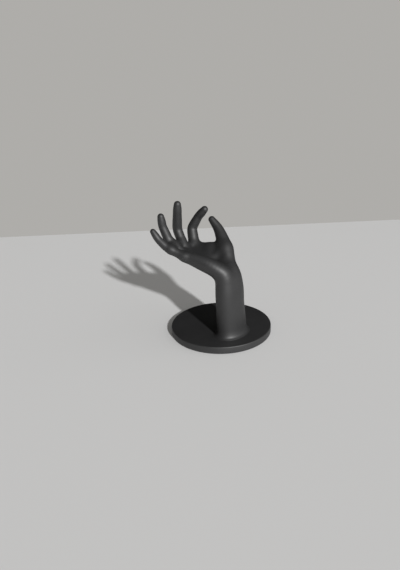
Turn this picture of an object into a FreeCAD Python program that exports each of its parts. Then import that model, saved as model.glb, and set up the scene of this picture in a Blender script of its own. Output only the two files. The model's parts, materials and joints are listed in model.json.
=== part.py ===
import FreeCAD, Part
import Sketcher
import math
import os

# Display hand: a carved and lacquered right hand, palm up, wrist bent back, standing on a turned disc.
# Origin: the middle of the disc's underside, on the surface it stands on. +Z is up, +X to the right and
# +Y away from the viewer when the fingers point to the left.

Vector = FreeCAD.Vector
Rotation = FreeCAD.Rotation
Placement = FreeCAD.Placement
X_AXIS = Vector(1, 0, 0)
Y_AXIS = Vector(0, 1, 0)
Z_AXIS = Vector(0, 0, 1)

# Driving dimensions in millimetres, and angles in degrees where the name says so
SIZES = {
    # turned disc
    "disc_diameter": 175.0,
    "disc_thickness": 12.2,
    "rim_top_round": 1.6,
    "rim_bottom_round": 1.0,
    # felt pad let into the underside, a rim's width inside the disc's edge
    "felt_rim": 5.0,
    "felt_thickness": 2.0,
    "felt_proud": 0.5,
    "felt_gap": 0.3,
    # steel weight plate above the felt, a ledge's width inside the felt's edge
    "plate_ledge": 20.5,
    "plate_thickness": 3.0,
    "plate_gap": 0.3,
    "plate_screw_inset": 10.0,
    "screw_diameter": 3.5,
    "screw_cover": 1.6,
    "screw_tip_length": 2.0,
    "screw_head_diameter": 7.0,
    "screw_head_height": 1.9,
    "screw_head_recess": 0.1,
    "screw_slot_width": 0.9,
    "screw_slot_depth": 0.7,
    "screw_gap": 0.05,
    # foot of the hand on the disc
    "foot_across": 16.3,
    "foot_along": -34.8,
    "foot_turn_degrees": 47.0,
    "foot_half_width": 30.8,
    "foot_half_depth": 21.0,
    "ankle_half_width": 28.2,
    "ankle_half_depth": 19.2,
    # forearm and wrist
    "waist_shift_across": -1.7,
    "waist_shift_along": -2.6,
    "waist_half_width": 27.0,
    "waist_half_depth": 18.2,
    "wrist_height": 120.0,
    "wrist_across": 11.8,
    "wrist_along": -41.6,
    "wrist_half_width": 25.6,
    "wrist_half_depth": 15.6,
    # hand's own frame: where the palm points and how it is rolled
    "palm_turn_degrees": 35.0,
    "palm_rise_degrees": 17.0,
    "palm_roll_degrees": 11.0,
    # palm block, measured in the hand's frame from the wrist
    "palm_shift": -2.0,
    "heel_half_width": 29.0,
    "heel_half_depth": 14.2,
    "heel_lift": 2.0,
    "middle_half_width": 32.5,
    "middle_half_depth": 12.8,
    "middle_lift": 1.8,
    "knuckle_half_width": 35.5,
    "knuckle_half_depth": 11.0,
    "knuckle_lift": 1.2,
    "palm_end_half_width": 36.5,
    "palm_end_half_depth": 8.3,
    "knuckle_swell": 0.5,
    "knuckle_web_half_depth": 7.9,
    "knuckle_web_back": 6.0,
    "web_gap": 2.0,
    "outer_pad_half_length": 34.0,
    "outer_pad_half_width": 14.5,
    "outer_pad_half_depth": 11.0,
    "outer_pad_reach": 38.0,
    "outer_pad_side": -22.5,
    "outer_pad_lift": 6.0,
    "thumb_web_radius": 8.2,
    "thumb_fold_side": 4.0,
    "thumb_fold_reach": 54.0,
    "thumb_fold_lift": 1.0,
    "thumb_fold_half_width": 22.0,
    "thumb_fold_half_depth": 6.5,
    "thumb_fold_edge_half_depth": 7.6,
    # index finger
    "index_side": 25.0,
    "index_reach": 81.0,
    "index_lift": 0.0,
    "index_spread_degrees": 13.0,
    "index_twist_degrees": -1.0,
    "index_bend_degrees": 54.0,
    "index_middle_bend_degrees": 49.5,
    "index_end_bend_degrees": 15.0,
    "index_first_bone": 41.0,
    "index_middle_bone": 24.6,
    "index_end_bone": 17.9,
    "index_base_radius": 9.4,
    "index_middle_radius": 7.8,
    "index_end_radius": 6.9,
    "index_tip_radius": 5.9,
    # middle finger
    "middle_finger_side": 3.5,
    "middle_finger_reach": 83.0,
    "middle_finger_lift": -1.5,
    "middle_spread_degrees": 15.5,
    "middle_twist_degrees": -21.0,
    "middle_bend_degrees": 47.0,
    "middle_middle_bend_degrees": 43.0,
    "middle_end_bend_degrees": 1.0,
    "middle_first_bone": 43.8,
    "middle_middle_bone": 27.9,
    "middle_end_bone": 17.9,
    "middle_base_radius": 9.7,
    "middle_middle_radius": 7.9,
    "middle_end_radius": 7.0,
    "middle_tip_radius": 5.9,
    # ring finger
    "ring_side": -16.0,
    "ring_reach": 77.0,
    "ring_lift": -0.5,
    "ring_spread_degrees": -8.5,
    "ring_twist_degrees": -15.5,
    "ring_bend_degrees": 24.0,
    "ring_middle_bend_degrees": 28.0,
    "ring_end_bend_degrees": 17.0,
    "ring_first_bone": 37.3,
    "ring_middle_bone": 23.6,
    "ring_end_bone": 16.4,
    "ring_base_radius": 9.1,
    "ring_middle_radius": 7.5,
    "ring_end_radius": 6.6,
    "ring_tip_radius": 5.5,
    # little finger
    "little_side": -33.0,
    "little_reach": 69.0,
    "little_lift": 3.0,
    "little_spread_degrees": -15.5,
    "little_twist_degrees": -4.0,
    "little_bend_degrees": 6.5,
    "little_middle_bend_degrees": 16.5,
    "little_end_bend_degrees": 14.0,
    "little_first_bone": 31.3,
    "little_middle_bone": 18.0,
    "little_end_bone": 15.6,
    "little_base_radius": 8.4,
    "little_middle_radius": 6.7,
    "little_end_radius": 5.8,
    "little_tip_radius": 4.7,
    # thumb
    "thumb_side": 15.0,
    "thumb_reach": 12.0,
    "thumb_lift": 10.5,
    "thumb_spread_degrees": 30.5,
    "thumb_rise_degrees": 36.5,
    "thumb_plane_degrees": -18.0,
    "thumb_bend_degrees": 10.0,
    "thumb_end_bend_degrees": 23.0,
    "thumb_palm_bone": 39.6,
    "thumb_first_bone": 27.9,
    "thumb_end_bone": 18.9,
    "thumb_start_side": 9.0,
    "thumb_start_reach": -2.0,
    "thumb_start_lift": 1.5,
    "thumb_start_radius": 13.2,
    "thumb_root_radius": 12.6,
    "thumb_ball_radius": 14.0,
    "thumb_base_radius": 12.0,
    "thumb_middle_radius": 8.0,
    "thumb_tip_radius": 5.9,
    # dowels that carry the glued joints
    "glue_gap": 0.05,
    "seat_margin": 2.0,
    "seat_depth": 10.0,
    "finger_dowel_diameter": 5.0,
    "finger_dowel_length": 20.0,
    "thumb_dowel_diameter": 8.0,
    "thumb_dowel_length": 26.0,
    "wrist_dowel_diameter": 8.0,
    "wrist_dowel_length": 26.0,
    "wrist_dowel_spacing": 24.0,
    "dowel_chamfer": 0.6,
    "dowel_end_gap": 0.5,
    # pins, bolt and insert that hold the hand on the disc
    "foot_pin_diameter": 6.0,
    "foot_pin_cover": 2.2,
    "foot_pin_in_foot": 12.0,
    "foot_pin_spacing": 36.0,
    "bolt_diameter": 6.0,
    "bolt_head_diameter": 10.5,
    "bolt_head_height": 3.3,
    "bolt_socket_width": 4.0,
    "bolt_socket_depth": 1.9,
    "bolt_reach_in_foot": 12.0,
    "bolt_hole_gap": 0.3,
    "bolt_well_gap": 0.6,
    "bolt_head_recess": 0.4,
    "bolt_tip_chamfer": 0.8,
    "washer_diameter": 12.0,
    "washer_thickness": 1.6,
    "insert_diameter": 9.0,
    "insert_length": 15.0,
    "insert_flange_diameter": 12.0,
    "insert_flange_height": 1.0,
    "thread_gap": 0.05,
}

# Heights above the table and other lengths that follow from the sizes
DERIVED = {
    "disc_top": "=felt_proud + disc_thickness",
    "felt_diameter": "=disc_diameter - 2 * felt_rim",
    "plate_diameter": "=felt_diameter - 2 * plate_ledge",
    "plate_screw_circle": "=plate_diameter - 2 * plate_screw_inset",
    "plate_top": "=felt_thickness + plate_thickness",
    "bolt_head_base": "=felt_thickness + bolt_head_recess",
    "washer_base": "=bolt_head_base + bolt_head_height",
    "washer_top": "=washer_base + washer_thickness",
    "bolt_tip": "=disc_top + bolt_reach_in_foot",
    "bolt_well_diameter": "=washer_diameter + 2 * bolt_well_gap",
    "bolt_hole_diameter": "=bolt_diameter + 2 * bolt_hole_gap",
    "screw_head_base": "=felt_thickness + screw_head_recess",
    "screw_tip": "=disc_top - screw_cover",
    "screw_length": "=screw_tip - screw_head_base",
    "foot_pin_base": "=plate_top + foot_pin_cover",
    "foot_pin_in_disc": "=disc_top - foot_pin_base",
    "foot_pin_length": "=foot_pin_in_disc + foot_pin_in_foot",
    "foot_pin_hole_diameter": "=foot_pin_diameter + 2 * glue_gap",
}

PLATE_SCREW_COUNT = 3

# How close a measured edge lies to its nominal place, in millimetres
MATCH = 0.001

# Shares of a bone's length, chosen by hand
finger_root_share = 0.50
thumb_root_share = 0.86
web_near_thumb_share = 0.54
section_step_share = 0.5

# Even steps between the forearm's sections, and how far its upper sections have narrowed to the wrist
ARM_STEPS = 5
upper_narrowing_share = 0.4
cuff_width_share = 0.8
cuff_depth_share = 0.7
cuff_shift_share = 0.5
ankle_shift_share = 0.5

# The tools that trim forms at the wrist, as shares of the wrist's half width and half depth
trim_width_share = 4
trim_depth_share = 2


def make_sheet(doc):
    sheet = doc.addObject("Spreadsheet::Sheet", "Sizes")
    for row, (name, value) in enumerate({**SIZES, **DERIVED}.items(), start=1):
        sheet.set("A%d" % row, name)
        sheet.set("B%d" % row, str(value))
        sheet.setAlias("B%d" % row, name)
    doc.recompute()
    return sheet


doc = FreeCAD.newDocument("display_hand")
sheet = make_sheet(doc)


def size(name):
    return float(getattr(sheet, name))


def angle(name):
    return math.radians(size(name + "_degrees"))


def bind(thing, **expressions):
    """Bind properties of an object to expressions of the sheet's values."""
    for prop, text in expressions.items():
        thing.setExpression(prop.replace("__", "."), text)


def cell(name):
    return "Sizes." + name


# Frames and places

def frame_at(place, across, along):
    """Placement whose local Z runs along the piece and whose local X lies across it."""
    z_dir = Vector(along).normalize()
    x_dir = Vector(across)
    x_dir = (x_dir - z_dir * x_dir.dot(z_dir)).normalize()
    y_dir = z_dir.cross(x_dir)
    return Placement(place, Rotation(x_dir, y_dir, z_dir, "ZXY"))


def hand_frame():
    """The palm's frame at the wrist: X towards the thumb, Y towards the fingers, Z out of the palm."""
    turn = angle("palm_turn")
    rise = angle("palm_rise")
    roll = angle("palm_roll")
    level = Vector(-math.cos(turn), math.sin(turn), 0)
    reach = level * math.cos(rise) + Z_AXIS * math.sin(rise)
    palm_up = Z_AXIS * math.cos(rise) - level * math.sin(rise)
    thumb_side = reach.cross(palm_up)
    out = palm_up * math.cos(roll) + thumb_side * math.sin(roll)
    side = reach.cross(out)
    wrist = Vector(size("wrist_across"), size("wrist_along"), size("wrist_height"))
    return Placement(wrist, Rotation(side, reach, out, "YZX"))


HAND = hand_frame()
PALM_SIDE = HAND.Rotation.multVec(X_AXIS)
PALM_REACH = HAND.Rotation.multVec(Y_AXIS)
PALM_OUT = HAND.Rotation.multVec(Z_AXIS)


def foot_frame(level):
    """Foot axes at a height: X along the foot's width."""
    turn = Rotation(Z_AXIS, size("foot_turn_degrees"))
    return Placement(Vector(size("foot_across"), size("foot_along"), level), turn)


def wrist_frame():
    """The glue plane at the wrist halves the bend between forearm and palm."""
    foot_side = foot_frame(0).Rotation.multVec(X_AXIS)
    return frame_at(HAND.Base, foot_side + PALM_SIDE, Z_AXIS + PALM_REACH)


# Sections, lofts and booleans

def section(name, frame, half_width, half_depth):
    """An oval section. half_width and half_depth are expressions; the first is the larger."""
    oval = doc.addObject("Part::Ellipse", name)
    bind(oval, MajorRadius=half_width, MinorRadius=half_depth)
    oval.Placement = frame
    return oval


def slot(name, frame, half_width, half_depth):
    """A section with round sides: two half circles joined by straight lines, along the frame's X."""
    outline = doc.addObject("Sketcher::SketchObject", name)
    outline.Placement = frame
    radius = outline.evalExpression(half_depth)
    reach = outline.evalExpression(half_width) - radius
    quarter = math.pi / 2
    outline.addGeometry([
        Part.ArcOfCircle(Part.Circle(Vector(reach, 0, 0), Z_AXIS, radius), -quarter, quarter),
        Part.LineSegment(Vector(reach, radius, 0), Vector(-reach, radius, 0)),
        Part.ArcOfCircle(Part.Circle(Vector(-reach, 0, 0), Z_AXIS, radius), quarter, 3 * quarter),
        Part.LineSegment(Vector(-reach, -radius, 0), Vector(reach, -radius, 0)),
    ], False)
    for first, first_end, second, second_end in ((0, 2, 1, 1), (1, 2, 2, 1), (2, 2, 3, 1), (3, 2, 0, 1)):
        outline.addConstraint(Sketcher.Constraint("Tangent", first, first_end, second, second_end))
    outline.addConstraint(Sketcher.Constraint("Symmetric", 0, 3, 2, 3, -1, 1))
    outline.addConstraint(Sketcher.Constraint("PointOnObject", 0, 3, -1))
    across = outline.addConstraint(Sketcher.Constraint("DistanceX", 2, 3, 0, 3, 2 * reach))
    round_end = outline.addConstraint(Sketcher.Constraint("Radius", 0, radius))
    outline.setExpression("Constraints[%d]" % across, "2 * ((%s) - (%s))" % (half_width, half_depth))
    outline.setExpression("Constraints[%d]" % round_end, half_depth)
    return outline


def loft(name, sections):
    shape = doc.addObject("Part::Loft", name)
    shape.Sections = sections
    shape.Solid = True
    shape.Ruled = False
    return shape


def ball(name, place, radius):
    sphere = doc.addObject("Part::Sphere", name)
    bind(sphere, Radius=radius)
    sphere.Placement = Placement(place, Rotation())
    return sphere


def fuse(name, shapes):
    joined = doc.addObject("Part::MultiFuse", name)
    joined.Shapes = shapes
    return joined


def cut(name, base, tools):
    """Take tools that don't touch each other out of a form."""
    group = doc.addObject("Part::Compound", name + "_tools")
    group.Links = tools
    result = doc.addObject("Part::Cut", name)
    result.Base = base
    result.Tool = group
    return result


def bore(name, frame, diameter, length):
    """The tool for a round hole from the frame's origin along its Z."""
    tool = doc.addObject("Part::Cylinder", name)
    bind(tool, Radius="(%s) / 2" % diameter, Height=length)
    tool.Placement = frame
    return tool


def slid(frame, distance):
    """The same frame moved along its own Z."""
    return frame * Placement(Z_AXIS * distance, Rotation())


# Turned pieces and what is cut into them

def origin_plane(body, role):
    for feature in body.Origin.OriginFeatures:
        if feature.Role == role:
            return feature
    raise ValueError("no plane " + role)


def body_sketch(body, name, role, offset=Placement()):
    outline = body.newObject("Sketcher::SketchObject", name)
    outline.AttachmentSupport = [(origin_plane(body, role), "")]
    outline.MapMode = "FlatFace"
    outline.AttachmentOffset = offset
    return outline


def place_point(outline, line, axis_kind, axis, text):
    """Hold a line's start at a distance from an axis, or on the axis where the distance is nought."""
    if text == "0":
        outline.addConstraint(Sketcher.Constraint("PointOnObject", line, 1, axis))
        return
    value = outline.evalExpression(text)
    held = outline.addConstraint(Sketcher.Constraint(axis_kind, -1, 1, line, 1, value))
    outline.setExpression("Constraints[%d]" % held, text)


def turned(name, frame, profile):
    """A body turned about its own Z from a closed outline of radius and height expressions."""
    body = doc.addObject("PartDesign::Body", name)
    body.Placement = frame
    outline = body_sketch(body, name + "_outline", "XZ_Plane")
    points = []
    for radius, height in profile:
        points.append(Vector(outline.evalExpression(radius), outline.evalExpression(height), 0))
    count = len(points)
    outline.addGeometry([Part.LineSegment(points[i], points[(i + 1) % count]) for i in range(count)], False)
    for line in range(count):
        outline.addConstraint(Sketcher.Constraint("Coincident", line, 2, (line + 1) % count, 1))
    for line, (radius, height) in enumerate(profile):
        place_point(outline, line, "DistanceX", -2, radius)
        place_point(outline, line, "DistanceY", -1, height)
    turning = body.newObject("PartDesign::Revolution", name + "_turning")
    turning.Profile = outline
    turning.ReferenceAxis = (outline, ["V_Axis"])
    turning.Angle = 360
    doc.recompute()
    return body


def pocket(body, name, outline, depth, upward):
    """Cut a sketch into a body, up or down, and see that something was taken away."""
    before = body.Shape.Volume
    feature = body.newObject("PartDesign::Pocket", name)
    feature.Profile = outline
    bind(feature, Length=depth)
    feature.Reversed = upward
    doc.recompute()
    if not feature.Shape.Volume < before:
        raise ValueError("nothing is cut by " + name)
    return feature


def circle_sketch(body, name, offset, circles):
    """Circles on the sketch's X axis, as (distance from the origin, diameter) expressions."""
    outline = body_sketch(body, name, "XY_Plane", offset)
    for number, (reach, diameter) in enumerate(circles):
        centre = Vector(outline.evalExpression(reach), 0, 0)
        outline.addGeometry(Part.Circle(centre, Z_AXIS, outline.evalExpression(diameter) / 2), False)
        outline.addConstraint(Sketcher.Constraint("PointOnObject", number, 3, -1))
        if reach == "0":
            outline.addConstraint(Sketcher.Constraint("PointOnObject", number, 3, -2))
        else:
            held = outline.addConstraint(Sketcher.Constraint("DistanceX", -1, 1, number, 3, centre.x))
            outline.setExpression("Constraints[%d]" % held, reach)
        nominal = 2 * outline.Geometry[number].Radius
        width = outline.addConstraint(Sketcher.Constraint("Diameter", number, nominal))
        outline.setExpression("Constraints[%d]" % width, diameter)
    return outline


def peg(name, frame, diameter, length):
    """A round peg with chamfered ends, from the frame's origin along its Z."""
    radius = "%s / 2" % diameter
    chamfer = cell("dowel_chamfer")
    return turned(name, frame, [
        ("0", "0"),
        ("%s - %s" % (radius, chamfer), "0"),
        (radius, chamfer),
        (radius, "%s - %s" % (length, chamfer)),
        ("%s - %s" % (radius, chamfer), length),
        ("0", length),
    ])


def dowel_joint(name, frame, kind):
    """A dowel that is centred on a glue plane, and the tool for its hole on both sides."""
    diameter = cell(kind + "_dowel_diameter")
    length = cell(kind + "_dowel_length")
    half = size(kind + "_dowel_length") / 2
    dowel = peg(name, slid(frame, -half), diameter, length)
    hole = bore(name + "_hole", slid(frame, -half - size("dowel_end_gap")),
                "%s + 2 * Sizes.glue_gap" % diameter, "%s + 2 * Sizes.dowel_end_gap" % length)
    return dowel, hole


# Digits: bones in the hand's frame, with oval sections spaced evenly along them

def mixed(first, second, share):
    """An expression between two cells, bound to both."""
    return "%s * (1 - %.4f) + %s * %.4f" % (cell(first), share, cell(second), share)


class Digit:
    """One digit: its joints as points, the direction of each bone, and the radius at each joint."""

    def __init__(self, name, base, bones, directions, across, radii, root_share):
        self.name = name
        self.directions = directions
        self.across = across
        self.bones = bones
        self.radii = radii
        self.root_share = root_share
        self.joints = [base]
        for bone, direction in zip(bones, directions):
            self.joints.append(self.joints[-1] + direction * size(bone))

    def frame(self, bone, share):
        """Frame at a share of a bone, its plane halving the bend where it lies on a joint."""
        along = self.directions[bone]
        if share >= 1 and bone + 1 < len(self.bones):
            along = along + self.directions[bone + 1]
        place = self.joints[bone] + self.directions[bone] * (size(self.bones[bone]) * share)
        return frame_at(place, self.across, along)

    def root_frame(self):
        """The glue plane between the digit and its stub on the palm."""
        return self.frame(0, self.root_share)

    def section(self, bone, share):
        radius = mixed(self.radii[bone], self.radii[bone + 1], share)
        label = "%s_section_%d_%03d" % (self.name, bone + 1, round(share * 100))
        return section(label, self.frame(bone, share), radius, radius)

    def stub(self):
        """The part of the first bone that is carved on the palm block."""
        shares = (0, self.root_share / 2, self.root_share)
        return loft(self.name + "_stub", [self.section(0, share) for share in shares])

    def free_part(self):
        """The separate piece: from the glue plane to the fingertip."""
        sections = []
        step = size(self.bones[-1]) * section_step_share
        for bone, name in enumerate(self.bones):
            start = self.root_share if bone == 0 else 0
            spans = max(1, round(size(name) * (1 - start) / step))
            first = 0 if bone == 0 else 1
            for span in range(first, spans + 1):
                sections.append(self.section(bone, start + (1 - start) * span / spans))
        shaft = loft(self.name + "_shaft", sections)
        tip = doc.addObject("Part::Sphere", self.name + "_tip")
        bind(tip, Radius=cell(self.radii[-1]))
        tip.Angle1 = 0
        tip.Angle2 = 90
        tip.Placement = sections[-1].Placement
        return fuse(self.name + "_form", [shaft, tip])


def in_hand(side, reach, out):
    return HAND.multVec(Vector(side, reach, out))


def way(side, reach, out):
    return HAND.Rotation.multVec(Vector(side, reach, out))


def make_finger(name, place_name):
    """A finger bends in one plane, turned by its spread and twist from the hand's frame."""
    bones = [name + "_first_bone", name + "_middle_bone", name + "_end_bone"]
    radii = [name + part for part in ("_base_radius", "_middle_radius", "_end_radius", "_tip_radius")]
    spread = angle(name + "_spread")
    twist = angle(name + "_twist")
    forward = way(math.sin(spread), math.cos(spread), 0)
    sideways = way(math.cos(spread), -math.sin(spread), 0)
    curl = PALM_OUT * math.cos(twist) + sideways * math.sin(twist)
    across = sideways * math.cos(twist) - PALM_OUT * math.sin(twist)
    bend = 0.0
    directions = []
    for step in ("_bend", "_middle_bend", "_end_bend"):
        bend += angle(name + step)
        directions.append(forward * math.cos(bend) + curl * math.sin(bend))
    base = in_hand(size(place_name + "_side"), size(place_name + "_reach"), size(place_name + "_lift"))
    return Digit(name, base, bones, directions, across, radii, finger_root_share)


def make_thumb():
    """The thumb bends in a plane of its own, towards the fingers."""
    rise = angle("thumb_rise")
    spread = angle("thumb_spread")
    plane = angle("thumb_plane")
    start = way(math.cos(rise) * math.sin(spread), math.cos(rise) * math.cos(spread), math.sin(rise))
    inward = (-PALM_SIDE - start * start.dot(-PALM_SIDE)).normalize()
    curl = inward * math.cos(plane) + start.cross(inward) * math.sin(plane)
    bend = angle("thumb_bend")
    end_bend = bend + angle("thumb_end_bend")
    directions = [
        start,
        start * math.cos(bend) + curl * math.sin(bend),
        start * math.cos(end_bend) + curl * math.sin(end_bend),
    ]
    base = in_hand(size("thumb_side"), size("thumb_reach"), size("thumb_lift"))
    bones = ["thumb_palm_bone", "thumb_first_bone", "thumb_end_bone"]
    radii = ["thumb_root_radius", "thumb_base_radius", "thumb_middle_radius", "thumb_tip_radius"]
    return Digit("thumb", base, bones, directions, start.cross(curl), radii, thumb_root_share)


INDEX = make_finger("index", "index")
MIDDLE = make_finger("middle", "middle_finger")
RING = make_finger("ring", "ring")
LITTLE = make_finger("little", "little")
THUMB = make_thumb()
FINGERS = [INDEX, MIDDLE, RING, LITTLE]


# Forearm and palm blocks

def beyond_wrist(name, direction):
    """The tool that ends a form half a glue line short of the wrist's glue plane."""
    frame = wrist_frame()
    if direction < 0:
        frame = frame * Placement(Vector(0, 0, 0), Rotation(X_AXIS, 180))
    return bore(name, slid(frame, -size("glue_gap") / 2), "%d * Sizes.wrist_half_width" % trim_width_share,
                "%d * Sizes.wrist_half_depth" % trim_depth_share)


def wrist_section(name):
    """The section that forearm and palm share at the wrist's glue plane."""
    return slot(name, wrist_frame(), cell("wrist_half_width"), cell("wrist_half_depth"))


def arm_section(name, level, width, depth, sway):
    """A level section of the forearm; sway is the share of the waist's shift from the foot's centre."""
    foot = Vector(size("foot_across"), size("foot_along"), level)
    wrist = Vector(size("wrist_across"), size("wrist_along"), level)
    share = (level - size("disc_top")) / (size("wrist_height") - size("disc_top"))
    place = foot * (1 - share) + wrist * share
    place += Vector(size("waist_shift_across"), size("waist_shift_along"), 0) * sway
    frame = Placement(place, foot_frame(level).Rotation)
    return slot(name, frame, width, depth)


def forearm_form():
    """Even level sections from the flared foot over the waist, then the tilted glue plane of the wrist."""
    bottom = size("disc_top")
    step = (size("wrist_height") - bottom) / ARM_STEPS
    waist = (cell("waist_half_width"), cell("waist_half_depth"))
    upper = (mixed("waist_half_width", "wrist_half_width", upper_narrowing_share),
             mixed("waist_half_depth", "wrist_half_depth", upper_narrowing_share))
    cuff = (mixed("waist_half_width", "wrist_half_width", cuff_width_share),
            mixed("waist_half_depth", "wrist_half_depth", cuff_depth_share))
    sections = []
    for number, (name, width, depth, sway) in enumerate([
        ("foot_outline", cell("foot_half_width"), cell("foot_half_depth"), 0),
        ("ankle_outline", cell("ankle_half_width"), cell("ankle_half_depth"), ankle_shift_share),
        ("waist_outline", *waist, 1),
        ("upper_outline", *upper, 1),
        ("cuff_outline", *cuff, cuff_shift_share),
    ]):
        sections.append(arm_section(name, bottom + number * step, width, depth, sway))
    sections.append(wrist_section("wrist_outline"))
    whole = loft("forearm_loft", sections)
    return cut("forearm_form", whole, [beyond_wrist("above_forearm", 1)])


def bulge(share):
    """A parabola over a share: nought at both ends, one in the middle."""
    return 4 * share * (1 - share)


def palm_core():
    """Even steps from the wrist's glue plane to the knuckles, turning to lie along the knuckle line."""
    knuckle_line = (INDEX.joints[0] - LITTLE.joints[0]).normalize()
    wrist = HAND.Base
    end = (INDEX.joints[0] + LITTLE.joints[0]) * 0.5
    names = ("heel", "middle", "knuckle", "palm_end")
    sections = [wrist_section("palm_wrist_outline")]
    for count, name in enumerate(names, start=1):
        share = count / len(names)
        across = PALM_SIDE * (1 - share) + knuckle_line * share
        along = -across.cross(PALM_OUT)
        place = wrist * (1 - share) + end * share
        if name != "palm_end":
            place += PALM_OUT * size(name + "_lift") + PALM_SIDE * (size("palm_shift") * bulge(share))
        frame = frame_at(place, across, along)
        half_width = cell(name + "_half_width")
        half_depth = cell(name + "_half_depth")
        sections.append(slot(name + "_outline", frame, half_width, half_depth))
    return cut("palm_core", loft("palm_loft", sections), [beyond_wrist("behind_palm", -1)])


def bar(name, start, end, radius):
    """A round bar between two points."""
    form = doc.addObject("Part::Cylinder", name)
    bind(form, Radius=radius)
    span = end - start
    form.Height = span.Length
    form.Placement = frame_at(start, span.cross(PALM_OUT), span)
    return form


def knuckles():
    """A ball in each finger's knuckle rounds off the end of the palm."""
    forms = []
    for digit in FINGERS:
        radius = "%s + Sizes.knuckle_swell" % cell(digit.radii[0])
        forms.append(ball(digit.name + "_knuckle", digit.joints[0], radius))
    return forms


def knuckle_webs():
    """Flesh from knuckle to knuckle, up to the web between two fingers, short of their glue planes."""
    depth = cell("knuckle_web_half_depth")
    webs = []
    for first, second in zip(FINGERS, FINGERS[1:]):
        neighbour = second.joints[0] - first.joints[0]
        sections = []
        for digit in (first, second):
            front = size(digit.bones[0]) * digit.root_share - size("web_gap")
            back = size("knuckle_web_back") + size("knuckle_web_half_depth")
            place = digit.joints[0] + digit.directions[0] * ((front - back) / 2)
            frame = frame_at(place, digit.directions[0], neighbour)
            half_width = "(%s * %.2f - Sizes.web_gap + Sizes.knuckle_web_back + %s) / 2"
            half_width = half_width % (cell(digit.bones[0]), digit.root_share, depth)
            sections.append(slot("%s_web_by_%s" % (digit.name, second.name), frame, half_width, depth))
        webs.append(loft("%s_%s_web" % (first.name, second.name), sections))
    return webs


def outer_pad():
    """The soft pad on the little finger's side of the palm."""
    form = doc.addObject("Part::Ellipsoid", "outer_pad")
    bind(form, Radius1=cell("outer_pad_half_depth"), Radius2=cell("outer_pad_half_length"),
         Radius3=cell("outer_pad_half_width"))
    place = in_hand(size("outer_pad_side"), size("outer_pad_reach"), size("outer_pad_lift"))
    form.Placement = frame_at(place, PALM_REACH, PALM_OUT)
    return form


def thumb_root():
    """The ball of the thumb: from inside the wrist along the thumb's palm bone to its glue plane."""
    start = in_hand(size("thumb_start_side"), size("thumb_start_reach"), size("thumb_start_lift"))
    toward = THUMB.joints[0] - start
    start_radius = cell("thumb_start_radius")
    ball_radius = cell("thumb_ball_radius")
    whole = loft("thumb_root_form", [
        section("thumb_start_section", frame_at(start, THUMB.across, toward), start_radius, start_radius),
        THUMB.section(0, 0),
        section("thumb_ball_section", THUMB.frame(0, thumb_root_share / 2), ball_radius, ball_radius),
        THUMB.section(0, thumb_root_share),
    ])
    return cut("thumb_root", whole, [beyond_wrist("behind_thumb_root", -1)])


def thumb_web():
    """The fold between thumb and index finger: a round edge, and the flesh from there to the palm."""
    thumb_end = THUMB.joints[0] + THUMB.directions[0] * (size("thumb_palm_bone") * web_near_thumb_share)
    index_end = INDEX.joints[0]
    edge = bar("thumb_web_edge", thumb_end, index_end, cell("thumb_web_radius"))
    start = in_hand(size("thumb_fold_side"), size("thumb_fold_reach"), size("thumb_fold_lift"))
    middle = (thumb_end + index_end) * 0.5
    along = middle - start
    across = thumb_end - index_end
    flesh = loft("thumb_fold", [
        slot("thumb_fold_start", frame_at(start, across, along), cell("thumb_fold_half_width"),
             cell("thumb_fold_half_depth")),
        slot("thumb_fold_edge", frame_at(middle, across, along), "%.4f" % (across.Length / 2),
             cell("thumb_fold_edge_half_depth")),
    ])
    return [edge, flesh]


def palm_form():
    forms = [palm_core(), outer_pad(), thumb_root()]
    forms += [digit.stub() for digit in FINGERS]
    forms += knuckles() + knuckle_webs() + thumb_web()
    return fuse("palm_form", forms)


# The hand's pieces with their dowels

PIECES = []


def keep(label, piece):
    """Name a finished piece."""
    piece.Label = label
    PIECES.append(piece)


def make_digits():
    """Each digit with its dowel, and the tools for the seats in the palm."""
    labels = ("index_finger", "middle_finger", "ring_finger", "little_finger", "thumb")
    seats = []
    for label, digit in zip(labels, FINGERS + [THUMB]):
        kind = "thumb" if digit is THUMB else "finger"
        frame = digit.root_frame()
        dowel, hole = dowel_joint(digit.name + "_dowel", frame, kind)
        keep(label, cut(digit.name + "_drilled", digit.free_part(), [hole]))
        keep(digit.name + "_dowel", dowel)
        face = bore(digit.name + "_face", slid(frame, -size("glue_gap")),
                    "2 * (%s + Sizes.seat_margin)" % cell(digit.radii[0]), cell("seat_depth"))
        seats.append(fuse(digit.name + "_seat", [face, hole]))
    return seats


def make_hand():
    """Digits, palm and forearm, the last two joined by a pair of dowels."""
    tools = make_digits()
    holes = []
    for number, side in enumerate((-1, 1), start=1):
        offset = Placement(X_AXIS * (side * size("wrist_dowel_spacing") / 2), Rotation())
        name = "wrist_dowel_%d" % number
        dowel, hole = dowel_joint(name, wrist_frame() * offset, "wrist")
        keep(name, dowel)
        holes.append(hole)
    keep("palm", cut("palm_drilled", palm_form(), tools + holes))
    keep("forearm", cut("forearm_drilled", forearm_form(), holes + foot_tools()))


# Foot joint: a bolt in a threaded insert, and two pins that keep the hand from turning

def foot_pin_frames(level):
    frames = []
    for side in (-1, 1):
        offset = Placement(X_AXIS * (side * size("foot_pin_spacing") / 2), Rotation())
        frames.append(foot_frame(level) * offset)
    return frames


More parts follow.
